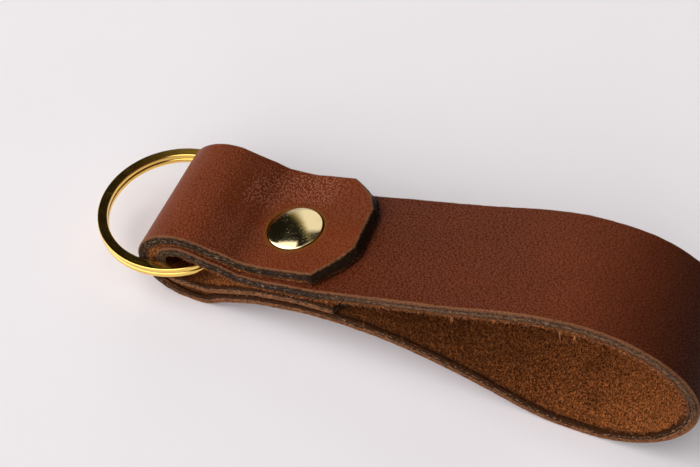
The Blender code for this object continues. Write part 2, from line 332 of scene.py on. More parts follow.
def paintSky():
    world = bpy.data.worlds.new("studioRoom")
    bpy.context.scene.world = world
    world.use_nodes = True
    tree = world.node_tree
    tree.nodes.clear()
    look = studio
    parts = partsOf(put(tree, "TexCoord").outputs["Generated"])
    azimuth = times(maths("ARCTAN2", parts[1], parts[0]), 180 / math.pi)
    elevation = times(maths("ARCSINE", parts[2]), 180 / math.pi)
    onRight = eased(azimuth, *look["rightTo"])
    colour = front = blendColour(eased(elevation, *look["lowTop"]), look["frontLow"], look["frontHigh"])
    wall = times(eased(azimuth, *look["wallFrom"]), eased(elevation, *look["wallTop"][::-1]))
    for share, name in (
        (onRight, "rightSide"), (wall, "backWall"),
        (eased(azimuth, *look["warmTo"]), "warmBorder"), (eased(azimuth, *look["wallTo"]), "dark"),
    ):
        colour = blendColour(share, colour, look[name])
    colour = blendColour(eased(azimuth, *look["darkTo"]), colour, front)
    colour = blendColour(eased(elevation, *look["overheadFrom"]), colour, look["overhead"])
    # The pale horizon stops at the dark sectors
    inRight = times(onRight, eased(azimuth, *look["wallFrom"][::-1]))
    inDark = within(azimuth, look["wallTo"], look["darkTo"][::-1])
    pale = minus(1.0, highest(inDark, inRight))
    atHorizon = times(eased(elevation, *look["horizonTo"]), pale)
    colour = blendColour(atHorizon, colour, look["horizon"])
    light = put(tree, "Background", {"Color": colour, "Strength": 1.0})
    put(tree, "OutputWorld", {0: light.outputs[0]})


def layFloor():
    dropSelection()
    bpy.ops.mesh.primitive_plane_add(size=studio["floorSize"], location=(0, 0, 0))
    floor = bpy.context.object
    floor.name = "floor"
    material, tree, shader = newMaterial("palePaper")
    place = put(tree, "TexCoord").outputs["Object"]
    pale = studio["floorColour"]
    blotch = cloudy(place, *studio["blotches"])
    colour = ramp(blotch, zip(studio["blotchSpan"], (pale, toned(pale, studio["paleBlotch"]))))
    grain = cloudy(place, *studio["paperGrain"])
    bump = bumped(grain, studio["paperRelief"])
    setShader(shader, Base_Color=colour, Roughness=0.75, Normal=bump)
    floor.data.materials.append(material)


aimCamera()
addLamps()
paintSky()
layFloor()
bpy.context.scene.view_settings.view_transform = "Standard"
print("camera, floor and lamps are set")


# Grain side from the flap's tip to the tab's cut end: millimetres along and above the table
# from the rivet's seat, the heading in degrees, and how far the near and far edge lie higher
routeKnots = [
    (12.70, 20.45, 200, 0, 0), (-0.11, 16.60, 195, 0, 0), (-6.61, 15.70, 182, -0.1, 0.1),
    (-10.85, 16.51, 176, -0.2, 0.2), (-17.65, 17.50, 180, -0.25, 0.4),  # flap
    (-28.01, 8.75, 270, -0.2, 0.4),  # outer fold
    (-17.23, 0, 0, 0, 0), (-14.83, 0, 0, 0, 0),  # on the table
    (-9.00, 2.99, 25, 0, 0), (-3.51, 5.31, 21, 0, 0), (2.49, 6.89, 15, 0, 0),  # under the rivet
    (16.97, 8.30, 0, 0, 0), (39.97, 4.40, -15.5, 0, 0), (57.49, 0, 0, 0, 0), (61.49, 0, 0, 0, 0),
    (79.30, 15.19, 90, 0, 0), (57.49, 30.75, 180, 0, -0.6), (37.98, 25.95, 201, 0, -0.2),
    (9.52, 16.26, 200, 0, 0),  # loop
    (0.55, 14.13, 195, 0, 0), (-6.52, 13.15, 182, -0.1, 0.1), (-11.03, 13.97, 176, -0.2, 0.2),
    (-17.65, 14.95, 180, -0.25, 0.4),  # upper layer
    (-23.80, 10.60, 270, -0.2, 0.3), (-23.80, 8.40, 270, -0.1, 0.2),  # inner fold
    (-20.03, 3.75, 0, 0, 0), (-16.03, 3.75, 0, 0, 0), (-10.08, 5.30, 25, 0, 0),
    (-4.42, 7.69, 21, 0, 0), (1.83, 9.35, 15, 0, 0), (12.61, 10.73, 4.3, 0, 0),  # tab
    (18.61, 11.02, 1.5, 0, 0),  # its cut end
]
routeStep = 0.2
roundBend = math.radians(9)  # a bend that turns further than this follows an arc
seatPlace = 18.652  # of the rivet's seat from the model's middle, to the ring's side
rivetLean = math.radians(15)
rivetFoot = (2.62, 6.92)


def pointing(degrees):
    return Vector((math.cos(math.radians(degrees)), math.sin(math.radians(degrees))))


def traceRoute():
    rows = []
    marks = []
    for start, end in zip(routeKnots, routeKnots[1:]):
        a, b = Vector(start[:2]), Vector(end[:2])
        turn = math.radians((end[2] - start[2] + 180) % 360 - 180)
        share = 1 / 3
        if abs(turn) > roundBend:
            share = 4 / 3 * math.tan(abs(turn) / 4) / math.sin(abs(turn))
        goOut, goIn = pointing(start[2]), pointing(end[2])
        first = a + goOut * (b - a).dot(goOut) * share
        second = b - goIn * (b - a).dot(goIn) * share
        steps = math.ceil((b - a).length / routeStep)
        marks.append(len(rows))
        for step in range(steps):
            t = step / steps
            u = 1 - t
            spot = a * u**3 + first * 3 * u * u * t + second * 3 * u * t * t + b * t**3
            near, far = (start[i] + (end[i] - start[i]) * t for i in (3, 4))
            rows.append((spot.x, spot.y, near, far))
    marks.append(len(rows))
    rows.append((*routeKnots[-1][:2], *routeKnots[-1][3:]))
    rows = np.array(rows)
    steps = np.hypot(np.diff(rows[:, 0]), np.diff(rows[:, 1]))
    lengths = np.concatenate([[0], np.cumsum(steps)])
    heading = np.gradient(rows[:, :2], lengths, axis=0)
    heading /= np.linalg.norm(heading, axis=1)[:, None]
    return lengths, rows, heading, lengths[marks]


routeLengths, routeRows, routeHeading, knotLengths = traceRoute()
stripLength = routeLengths[-1]

strapLook = {
    "width": 25.4,
    "thick": 2.4,
    "side": -0.5,
    "drift": (1.6, 58),  # how far the flap's tip wanders, over what length
    "liftFrom": 12,  # height above which an edge has its full lift
    "columns": 607,
    "rows": 46,
    "tabCorner": (6.2, 7.6),
    "nearCut": [(0, 5.3), (1.45, 7.6), (3.7, 10.4), (5.9, 12.7)],
    "farCut": [(0, 4.9), (0.85, 6.65), (1.9, 8.55), (4.2, 10.85), (6.6, 12.7)],
    "edgeRound": 0.30,
    "edgeRoundDeep": 0.5,
    "tableLift": 6,  # height above which the hide has its full unevenness
    "edgeRows": (0.09, 0.19, 0.32),
    "cornerReach": 0.8,  # how far beyond a cut the narrow rows go
    "depthRows": (0.8, 1.2, 1.6, 2.0),
    "rivetSide": -0.84,
    "rivetSpan": (-1, 14),  # above its foot
    "holeRing": 4,
    # radius of each ring of faces round the rivet, from the hole outwards
    "rivetRings": [
        0, 0.6, 1.2, 1.8, 2.4, 3.1, 3.9, 4.7, 5.32, 5.43, 5.53, 5.66, 5.88, 6.2, 6.6, 7.2, 8.0, 8.9,
    ],
    "squareRings": (12, 18),  # where the rings turn back into the grid
    "pocket": 1.25,
    "pocketWall": (5.53, 5.34),
    "dish": 0.12,
    "dishWall": (10, 5.5),
    "fleshDeep": 0.3,  # how much of the thickness is flesh
    "fleshRound": 0.10,
    "roundReach": 0.4,  # a reach is the distance in from the cut edge
    "fleshRagged": (1.6, 0.4),  # at the edge and inside it
    "raggedReach": 0.9,
    "foldSwell": 1.15,
    "foldWorn": 0.36,
    "proudEdge": 0.42,
    "proudReach": (0.9, 0.2),
    "edgeBulge": 0.07,
    "bulgeReach": (0.6, 0.7),  # from any cut, and from the long edges
    "tipSlant": 0.7,
    "slantReach": 1.5,
    "slantAcross": (12.7, 8.5),  # from the middle line
    "tipSpread": 0.6,
    "spreadAcross": (5, 9),
    "smooth": math.radians(42),
}
halfWidth = strapLook["width"] / 2

# Unevenness: how the pattern is stretched, its scale, its seed and its height in millimetres
lumps = {
    "ragged": [((1, 1, 0), 1.7, 1, 0.12), ((1, 1, 0), 4.2, 2, 0.07)],
    "swell": [((1, 1, 0), 0.8, 7, 0.6)],
    "wave": [((1, 0.02, 0.6), 0.55, 3, 0.09), ((1, 0.02, 1), 2.1, 4, 0.045)],
    "soft": [((1, 1, 0), 0.11, 5, 0.10), ((1, 1, 0), 0.3, 6, 0.03)],
    "fringe": [((1, 1, 0), 1.3, 21, 0.9), ((1, 1, 0), 4.0, 22, 0.9)],
    "skin": [((1.1, 1.1, 4.2), 1.0, 23, 0.12), ((1, 1, 1.5), 3.6, 24, 0.11)],
    "nap": [((1.3, 0.9, 1), 1.4, 31, 0.9), ((1.3, 0.9, 1), 3.3, 32, 0.9)],
}
seedShift = (7.3, 3.1, 5.7)


def driftAt(length):
    reach, run = strapLook["drift"]
    return reach * np.maximum(0, 1 - length / run)


def foldFlat(flat):
    length = np.clip(flat[:, 0], 0, stripLength)
    beyond = flat[:, 0] - length
    column = [np.interp(length, routeLengths, routeRows[:, i]) for i in range(4)]
    ahead = [np.interp(length, routeLengths, routeHeading[:, i]) for i in range(2)]
    size = np.hypot(*ahead)
    ahead = [part / size for part in ahead]
    share = flat[:, 1] / strapLook["width"] + 0.5
    lift = column[2] * (1 - share) + column[3] * share
    x = column[0] - flat[:, 2] * ahead[1] + beyond * ahead[0] - seatPlace
    z = column[1] + flat[:, 2] * ahead[0] + beyond * ahead[1]
    y = flat[:, 1] + strapLook["side"] + driftAt(length)
    return np.stack([x, y, z + lift * np.clip(z / strapLook["liftFrom"], 0, 1)], axis=1) * mm


def rivetPasses():
    dx, dz = routeRows[:, 0] - rivetFoot[0], routeRows[:, 1] - rivetFoot[1]
    along = dx * math.cos(rivetLean) + dz * math.sin(rivetLean)
    up = dz * math.cos(rivetLean) - dx * math.sin(rivetLean)
    low, high = strapLook["rivetSpan"]
    found = []
    for i in range(len(along) - 1):
        if along[i] * along[i + 1] <= 0 and along[i] != along[i + 1] and low < up[i] < high:
            share = along[i] / (along[i] - along[i + 1])
            length = routeLengths[i] + share * (routeLengths[i + 1] - routeLengths[i])
            found.append((length, strapLook["rivetSide"] - driftAt(length)))
    return found


rivetLength, rivetAcross = (float(value) for value in min(rivetPasses()))  # the flap's pass

# Where the strap's form or look changes. Each pair runs from where a change starts to where it is
# full, and a place is a knot of the route and the millimetres beyond it
zones = {
    "swollen": [((4, 0.5), (4, 5)), ((5, 7), (5, 1))],  # inside the outer fold
    "worn": [((22, 0), (22, 3)), ((25, 3), (25, 0))],  # where the ring lies
    "proud": [((10, 0), (11, 0)), ((15, 10), (15, 0))],
    "slanted": [((0, 7.5), (0, 5.5))],
    "handled": [((6, 0), (6, 12))],
    "creased": [(("rivet", 18), ("rivet", 11))],
    "dip": [((0, 2), (0, 7)), (("rivet", 19), ("rivet", 12))],
    "stretched": [(("rivet", 12), ("rivet", 20)), ((6, 8), (6, 0))],
    "smoothEnd": [((15, 6), (17, 18))],
    "valley": [(("rivet", 4), ("rivet", 9)), (("rivet", 18), ("rivet", 11))],
    # the loop's closed end: painted shade there, and rougher
    "closedEnd": [((12, 0), (13, 0)), ((15, 36), (15, 8))],
    # where the pebbles' painted highlight is strongest
    "highlighted": [((0, 5.5), (0, 12)), ((0, 25), (0, 16))],
    "pressed": [(("rivet", 0), ("rivet", 6)), (("rivet", 30), ("rivet", 18))],
    "pastTip": [((0, 7), (0, 13))],
    "upperRun": [((15, -4), (15, 14)), ((18, 2), (18, -12))],
    "lowerRun": [((5, 4), (6, 2)), ((15, 6), (15, -4))],
    "tab": [((24, 0), (25, 0))],
    "dashed": [((10, 6), (11, 0))],
    "flapTip": [((0, 7.4), (0, 6.2))],
    "tabTip": [((-1, -6.8), (-1, -6.0))],
    # deep in the loop's mouth, where the flesh gets painted shade
    "mouthShade": [((14, -2), (11, 6))],
    "mouthShadeFrom": [((9, -2), (9, 0))],
    # the ring's tunnel, where the flesh gets painted shade
    "tunnelFrom": [((20, 0), (21, 0))],
    "tunnelTo": [((27, 0), (25, 0))],
    "mouth": [((15, -2), (14, -2))],
    "tipFringe": [((0, -1), (0, 6.5))],
    "foldFringe": [((0, -1), (5, 0))],
    "longFringe": [((18, -8), (21, 0))],
    "shortFringe": [((21, 0), (24, 3))],
    "nearRing": [((22, 0), (25, 3))],
    "tufted": [((16, 0), (18, 0))],
}


def placeOf(knot, more):
    start = rivetLength if knot == "rivet" else knotLengths[knot]
    return float(start) + more


def places(name):
    return [[placeOf(*spot) for spot in pair] for pair in zones[name]]


def zoneShare(lengths, name):
    return math.prod(easeBetween(lengths, *pair) for pair in places(name))


def inZone(lengths, name):
    low, high = places(name)[0]
    return (lengths > low) & (lengths < high)


def zoneMask(along, name, *span):
    return times(*(eased(along, *pair, *span) for pair in places(name)))


def tabCut():
    along, across = strapLook["tabCorner"]
    return [(stripLength - along, halfWidth), (stripLength, halfWidth - across)]


def cornerOutline():
    near = [(x, -y) for x, y in strapLook["nearCut"]]
    far = list(strapLook["farCut"])
    tab = tabCut()
    return far + tab + [(x, -y) for x, y in tab[::-1]] + near[::-1]


def gapToOutline(x, y):
    outline = cornerOutline()
    best = np.full(len(x), 1e9)
    for a, b in zip(outline, outline[1:] + outline[:1]):
        dx, dy = b[0] - a[0], b[1] - a[1]
        share = np.clip(((x - a[0]) * dx + (y - a[1]) * dy) / (dx * dx + dy * dy), 0, 1)
        best = np.minimum(best, np.hypot(x - a[0] - share * dx, y - a[1] - share * dy))
    return best


def cutBlank():
    look = strapLook
    blank, share = addGrid("leatherStrap", look["columns"], look["rows"])
    mesh = blank.data
    columnAt, rowAt = np.rint(share * [look["columns"], look["rows"]]).T
    step = np.array([stripLength / look["columns"], look["width"] / look["rows"]])
    flat = np.stack([columnAt * step[0], rowAt * step[1] - halfWidth], axis=1)
    inHole = np.zeros(len(share), bool)
    # Round the rivet the faces lie in rings, so that the hole and the cap's pocket are true circles
    for length, across in rivetPasses():
        middle = np.rint([length / step[0], (across + halfWidth) / step[1]])
        di, dj = columnAt - middle[0], rowAt - middle[1]
        ring = np.maximum(abs(di), abs(dj))
        small = np.minimum(abs(di), abs(dj))
        inside = (ring < look["squareRings"][1]) & (ring > 0)
        angle = np.where(ring > 0, small / np.maximum(ring, 1) * math.pi / 4, 0)
        angle = np.where(abs(dj) > abs(di), math.pi / 2 - angle, angle)
        radius = np.array(look["rivetRings"])[np.where(inside, ring, 0).astype(int)]
        circle = np.stack([
            length + np.sign(di) * radius * np.cos(angle),
            across + np.sign(dj) * radius * np.sin(angle),
        ], axis=1)
        keep = easeBetween(ring, *look["squareRings"])[:, None]
        flat = np.where(inside[:, None], circle * (1 - keep) + flat * keep, flat)
        flat = np.where((ring == 0)[:, None], [[length, across]], flat)
        inHole |= ring <= look["holeRing"]
    writePoints(mesh, np.column_stack([flat * mm, np.zeros(len(flat))]))
    bpy.ops.object.mode_set(mode="EDIT")
    bpy.ops.mesh.select_all(action="DESELECT")
    bpy.ops.object.mode_set(mode="OBJECT")
    for face in mesh.polygons:
        face.select = all(inHole[i] for i in face.vertices)
    bpy.ops.object.mode_set(mode="EDIT")
    bpy.ops.mesh.select_mode(type="FACE")
    bpy.ops.mesh.delete(type="FACE")
    trimCorners(blank)
    bpy.ops.object.mode_set(mode="OBJECT")
    return blank


def bisectFlat(start, end, side, inset, clear):
    a = Vector((start[0], side * start[1], 0)) * mm
    b = Vector((end[0], side * end[1], 0)) * mm
    outward = Vector(((start[1] - end[1]), side * (end[0] - start[0]), 0)).normalized()
    bpy.ops.mesh.bisect(plane_co=a - outward * inset * mm, plane_no=outward, clear_outer=clear)


def selectFlat(obj, low, high):
    bpy.ops.object.mode_set(mode="OBJECT")
    for face in obj.data.polygons:
        spot = face.center / mm
        face.select = low[0] < spot.x < high[0] and low[1] < spot.y < high[1]
    bpy.ops.object.mode_set(mode="EDIT")


def trimCorners(blank):
    corners = ((-1, strapLook["nearCut"]), (1, strapLook["farCut"]), (-1, tabCut()), (1, tabCut()))
    reach = strapLook["cornerReach"]
    for side, cuts in corners:
        for start, end in zip(cuts, cuts[1:]):
            bpy.ops.mesh.select_all(action="SELECT")
            bisectFlat(start, end, side, 0, True)
    # Narrow rows along every edge, so that the edge can be rounded
    for inset in strapLook["edgeRows"]:
        for side, cuts in corners:
            for start, end in zip(cuts, cuts[1:]):
                low, high = sorted((side * start[1], side * end[1]))
                selectFlat(blank, (start[0] - reach, low - reach), (end[0] + reach, high + reach))
                bisectFlat(start, end, side, inset, False)
            bpy.ops.mesh.select_all(action="SELECT")
            bisectFlat((0, halfWidth), (1, halfWidth), side, inset, False)
        for place, way in ((inset, -1), (stripLength - inset, 1)):
            bpy.ops.mesh.select_all(action="SELECT")
            bpy.ops.mesh.bisect(plane_co=(place * mm, 0, 0), plane_no=(way, 0, 0))


def lumpy(points, name):
    total = np.zeros(len(points))
    for stretch, scale, seed, height in lumps[name]:
        shift = Vector([seed * step for step in seedShift])
        total += [noise.noise(Vector(p) * scale + shift) * height for p in points * stretch]
    return total


def shapeFlat(flat, gap):
    look = strapLook
    thick = look["thick"]
    along, across, depth = flat.T.copy()
    # The flesh side is ragged and a little rounded at the edge
    under = easeBetween(depth, thick - look["fleshDeep"], thick)
    ragged = lumpy(flat, "ragged")
    atEdge, inside = look["fleshRagged"]
    ragged *= inside + atEdge * easeBetween(gap, look["raggedReach"], 0)
    depth -= under * (look["fleshRound"] * easeBetween(gap, look["roundReach"], 0) + ragged)
    # Inside the outer fold the crushed flesh swells, the ring has worn the inner fold's flesh thin
    swollen = zoneShare(along, "swollen") - look["foldWorn"] * zoneShare(along, "worn")
    depth += swollen * (look["foldSwell"] + lumpy(flat, "swell")) * np.clip(depth / thick, 0, 1)**3
    # Along the loop's lower run the flesh stands up at the edge
    proud = look["proudEdge"] * zoneShare(along, "proud") * easeBetween(gap, *look["proudReach"])
    depth += proud * np.clip(depth / thick, 0, 1)**2
    bulge = look["edgeBulge"] * np.sin(np.clip(depth / thick, 0, 1) * math.pi)
    reach, band = look["bulgeReach"]
    nearEdge = easeBetween(gap, reach, 0) * (abs(across) > halfWidth - band)
    across += np.sign(across) * nearEdge * (lumpy(flat, "wave") + bulge)
    # The tip was cut with the blade held aslant, so its flesh side reaches further
    slant = look["tipSlant"] * np.clip(flat[:, 2] / thick, 0, 1) * zoneShare(along, "slanted")
    slant *= easeBetween(gap, look["slantReach"], 0)
    along -= slant * easeBetween(abs(flat[:, 1]), *look["slantAcross"])
    spread = easeBetween(abs(flat[:, 1]), *look["spreadAcross"]) * look["tipSpread"]
    across += np.sign(across) * slant * spread
    return np.stack([along, across, depth], axis=1)


def keepFlat(obj, flat):
    kept = obj.data.attributes.new("flat", "FLOAT_VECTOR", "POINT")
    kept.data.foreach_set("vector", (flat * mm).astype(np.float32).ravel())


def buildStrap():
    look = strapLook
    blank = cutBlank()
    applyModifier(blank, "SOLIDIFY", thickness=look["thick"] * mm, offset=-1, use_rim=True)
    makeActive(blank)
    bpy.ops.object.mode_set(mode="EDIT")
    for depth in look["depthRows"]:
        bpy.ops.mesh.select_all(action="SELECT")
        bpy.ops.mesh.bisect(plane_co=(0, 0, -depth * mm), plane_no=(0, 0, 1))
    bpy.ops.object.mode_set(mode="OBJECT")
    mesh = blank.data
    flat = readPoints(mesh) / mm
    flat[:, 2] *= -1
    gap = gapToOutline(flat[:, 0], flat[:, 1])

    # Which faces are grain, cut edge and flesh
    spots = np.array([flat[list(face.vertices)].mean(axis=0) for face in mesh.polygons])
    spotGap = gapToOutline(spots[:, 0], spots[:, 1])
    kind = np.ones(len(spots), int)
    kind[(spots[:, 2] < hair) & (spotGap > look["edgeRound"])] = 0
    kind[spots[:, 2] > look["thick"] - hair] = 2

    # The grain side's edge is rounded over
    top = easeBetween(flat[:, 2], look["edgeRoundDeep"], 0)
    inward = np.clip(look["edgeRound"] - gap, 0, None)
    flat[:, 2] += top * (look["edgeRound"] - np.sqrt(look["edgeRound"]**2 - inward**2))
    # The cap's pocket on the two outer layers
    byHeight = sorted(rivetPasses(), key=lambda p: np.interp(p[0], routeLengths, routeRows[:, 1]))
    for length, across in (byHeight[0], byHeight[-1]):
        away = np.hypot(flat[:, 0] - length, flat[:, 1] - across)
        sink = look["dish"] * easeBetween(away, *look["dishWall"])
        sink += (look["pocket"] - look["dish"]) * easeBetween(away, *look["pocketWall"])
        flat[:, 2] += top * sink
    shaped = shapeFlat(flat, gap)
    folded = foldFlat(shaped)
    # Soft unevenness of the hide, except where it lies on the table
    folded[:, 2] += lumpy(flat, "soft") * mm * np.clip(folded[:, 2] / (look["tableLift"] * mm), 0, 1)
    writePoints(mesh, folded)
    keepFlat(blank, np.column_stack([flat[:, :2], shaped[:, 2]]))

    for material in (grainLeather, edgeLeather, fleshLeather):
        mesh.materials.append(material)
    mesh.polygons.foreach_set("material_index", kind)
    makeActive(blank)
    bpy.ops.object.shade_smooth_by_angle(angle=look["smooth"])
    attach(blank, "strap")
    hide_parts("leather_strap")
    triangles = sum(len(face.vertices) - 2 for face in mesh.polygons)
    print("strap:", len(mesh.vertices), "points,", triangles, "triangles")


clumpLook = {
    "wander": (1.3, 2.0, 0.7),
    "coarse": (5.0, 0.68),
    "fine": (3.0, 0.6),
    "finer": 3.1,  # times the coarse pattern's scale
    "shares": (0.62, 0.38),
    "contrast": (0.36, 0.66),
}


def fibreGroup():
    group, take, give = newGroup(
        "fibreClumps",
        [("Vector", "Vector", None), ("Size", "Float", 0.6)],
        [("Clumps", "Float"), ("Height", "Float")],
    )
    look = clumpLook
    scale = maths("DIVIDE", 1.0, take["Size"])
    place = wandering(take["Vector"], *look["wander"])
    coarse = times(cloudy(place, scale, *look["coarse"]), look["shares"][0])
    fine = times(cloudy(place, times(scale, look["finer"]), *look["fine"]), look["shares"][1])
    both = plus(coarse, fine)
    group.links.new(eased(both, *look["contrast"]), give["Clumps"])
    group.links.new(both, give["Height"])
    return group


dyeLook = {"broad": (0.09, 3.0), "small": (0.55, 3.0), "shares": (0.6, 0.4), "contrast": (0.62, 0.36)}


def dyeGroup():
    group, take, give = newGroup(
        "dyeBlotches",
        [
            ("Vector", "Vector", None), ("Color", "Color", (0.1, 0.03, 0.01, 1)),
            ("Deep", "Color", (0.06, 0.02, 0.01, 1)),
        ],
        [("Color", "Color")],
    )
    look = dyeLook
    broad = times(cloudy(take["Vector"], *look["broad"]), look["shares"][0])
    small = times(cloudy(take["Vector"], *look["small"]), look["shares"][1])
    share = eased(plus(broad, small), *look["contrast"])
    group.links.new(blendColour(share, take["Color"], take["Deep"]), give["Color"])
    return group


fibreClumps = fibreGroup()
dyeBlotches = dyeGroup()

leatherColours = {
    "chestnut": (0.160, 0.0290, 0.0056),
    "deepChestnut": (0.138, 0.0255, 0.0046),
    "handledTint": (0.86, 0.86, 1.0),
    # the grain's grooves, and the dark that painted shade blends towards
    "grooveAndShade": (0.022, 0.0042, 0.0008),
    # painted highlight on the pebbles' tops
    "pebbleHighlight": (0.50, 0.215, 0.150),
    "halo": (0.15, 0.050, 0.005),
    "bevel": (0.220, 0.087, 0.038),
    "lowerBevel": (0.300, 0.112, 0.040),
    "burnished": (0.011, 0.0060, 0.0036),
    "core": (0.056, 0.030, 0.018),
    "paleCore": (0.225, 0.113, 0.057),
    # pale streaks, partly the edge's own colour and partly painted glints
    "streak": (0.55, 0.36, 0.22),
    "dash": (0.42, 0.25, 0.12),
    # painted shade on the flap's tip and the tab's end
    "tipShade": (0.014, 0.0065, 0.0032),
    "fleshOrange": (0.76, 0.235, 0.060),
    "fleshBrown": (0.050, 0.0140, 0.0034),
    "fringe": (0.50, 0.185, 0.066),
}


def flatMillimetres(tree):
    flat = put(tree, "Attribute", attribute_name="flat", attribute_type="GEOMETRY").outputs["Vector"]
    return scaled(flat, 1000.0)


grainLook = {
    # pebbles per millimetre, along and across, where the strap is little handled and where it is much
    "pebbles": [(2.25, 2.15, 1), (1.9, 3.3, 1)],
    "randomness": 0.92,
    "pebbleEdge": (0.62, 0.22),
    "wander": (0.7, 3.0, 1.1),
    "pores": (3.4, 3.0, 0.62),
    "spokes": (25.0, 1.55),  # wrinkles round the rivet, and cells along each
    "spokeBand": [(5.6, 7.2), (21.0, 13.0)],  # millimetres from the rivet
    "relief": 0.94,
    "dipRelief": 0.06,
    "stretchedRelief": 0.04,
    "handledRelief": 0.39,
    "endRelief": 0.22,
    "valleyShade": 0.30,
    "endShade": 0.88,
    "grooveDark": 0.97,
    # how much painted highlight the pebbles' tops get
    "highlightShare": (0.10, 0.36),
    "pressedHighlight": 0.14,
    "wrinkleHighlight": 0.6,
    "haloRing": (6.4, 5.6, 0.0, 0.8),
    # where a change starts and where it is full, and then its share at each
    "creasedAcross": (-5.0, 3.0),
    "poreDepth": (0.30, 0.55, 0.78, 1.0),
    "grooves": (0.95, 0.25),
    "tops": (0.80, 1.0),
    "highlightedAcross": (0.5, 6.0),
    "poreRelief": 0.4,
    "creasedRelief": 0.7,
    "roughness": (0.30, 0.2, 0.4),  # everywhere, by the pores, in the closed end
    "bump": (1.0, 0.22 * mm),
}


def pebbled(cells):
    inputs = {"Vector": cells, "Scale": 1.0, "Randomness": grainLook["randomness"]}
    grown = follow("TexVoronoi", inputs, voronoi_dimensions="2D").outputs[0]
    return eased(grown, *grainLook["pebbleEdge"])


def grainSide():
    material, tree, shader = newMaterial("leatherGrain")
    look, tint = grainLook, leatherColours
    place = flatMillimetres(tree)
    along, across = partsOf(place)[:2]

    def zone(name, *span):
        return zoneMask(along, name, *span)

    # Fine pebbles all over, a little longer along the strap
    loose = wandering(place, *look["wander"])
    handled = zone("handled")
    fresh, worn = look["pebbles"]
    size = follow("Mix", {0: handled, 4: fresh, 5: worn}, data_type="VECTOR").outputs[1]
    pebble = pebbled(vectorMaths("MULTIPLY", loose, size))
    pores = cloudy(place, *look["pores"])
    # Wrinkles run out from the pressed rivet where the leather dips behind it
    fromRivet = vectorMaths("SUBTRACT", loose, (rivetLength, rivetAcross, 0))
    parts = partsOf(fromRivet)
    away = follow("VectorMath", {0: fromRivet}, operation="LENGTH").outputs["Value"]
    spokes = times(maths("ARCTAN2", parts[1], parts[0]), look["spokes"][0])
    spoke = follow("CombineXYZ", {0: spokes, 1: times(away, look["spokes"][1]), 2: 0.0}).outputs[0]
    band = within(away, *look["spokeBand"])
    creased = times(band, eased(across, *look["creasedAcross"]), zone("creased"))
    relief = follow("Mix", {0: creased, 2: pebble, 3: pebbled(spoke)}).outputs[0]
    relief = times(relief, eased(pores, *look["poreDepth"]))
    # The dip behind the rivet presses the grain together, the outer fold stretches it smooth
    pinched = times(highest(zone("dip"), creased), look["dipRelief"])
    strength = times(
        plus(look["relief"], pinched), zone("smoothEnd", look["endRelief"], 1.0),
        minus(1.0, times(zone("stretched"), look["stretchedRelief"])),
        minus(1.0, times(handled, look["handledRelief"])),
    )
    deep = opaque(tint["deepChestnut"])
    dyedAndShaded = useGroup(dyeBlotches, Vector=place, Color=opaque(tint["chestnut"]), Deep=deep)["Color"]
    # Painted shade: the valley between the rivet and the fold is darkened
    dyedAndShaded = blendColour(times(zone("valley"), look["valleyShade"]), dyedAndShaded, tint["grooveAndShade"])
    # The loop has darkened in the hand, the fold's flap has not
    dyedAndShaded = blendColour(handled, dyedAndShaded, blendColour(1.0, dyedAndShaded, tint["handledTint"], "MULTIPLY"))
    # Painted shade: the loop's closed end, which faces away from the lamps, is darkened
    closedEnd = zone("closedEnd")
    dyedAndShaded = blendColour(times(closedEnd, look["endShade"]), dyedAndShaded, tint["grooveAndShade"])
    low = times(eased(relief, *look["grooves"]), strength, look["grooveDark"])
    colour = blendColour(low, dyedAndShaded, tint["grooveAndShade"])
    # Painted highlight: the pebbles' tops are lightened pink where they would catch the light, most of all
    # beyond the rivet
    pressed = zone("pressed")
    highlighted = times(eased(across, *look["highlightedAcross"]), zone("highlighted"))
    highlighted = highest(highlighted, times(pressed, look["pressedHighlight"]))
    highlighted = highest(highlighted, times(creased, look["wrinkleHighlight"], zone("pastTip")))
    least, more = look["highlightShare"]
    pebbleHighlight = times(eased(relief, *look["tops"]), plus(least, times(highlighted, more)))
    colour = blendColour(pebbleHighlight, colour, tint["pebbleHighlight"])
    colour = blendColour(eased(away, *look["haloRing"]), colour, tint["halo"])
    height = times(plus(relief, times(pores, look["poreRelief"])), strength)
    height = times(height, plus(1.0, times(highest(creased, pressed), look["creasedRelief"])))
    everywhere, byPores, atEnd = look["roughness"]
    rough = plus(plus(everywhere, times(pores, byPores)), times(closedEnd, atEnd))
    setShader(
        shader, Base_Color=colour, Roughness=rough, Normal=bumped(height, *look["bump"]),
        Specular_IOR_Level=0.13, Specular_Tint=(1, 0.58, 0.42, 1),
    )
    return material


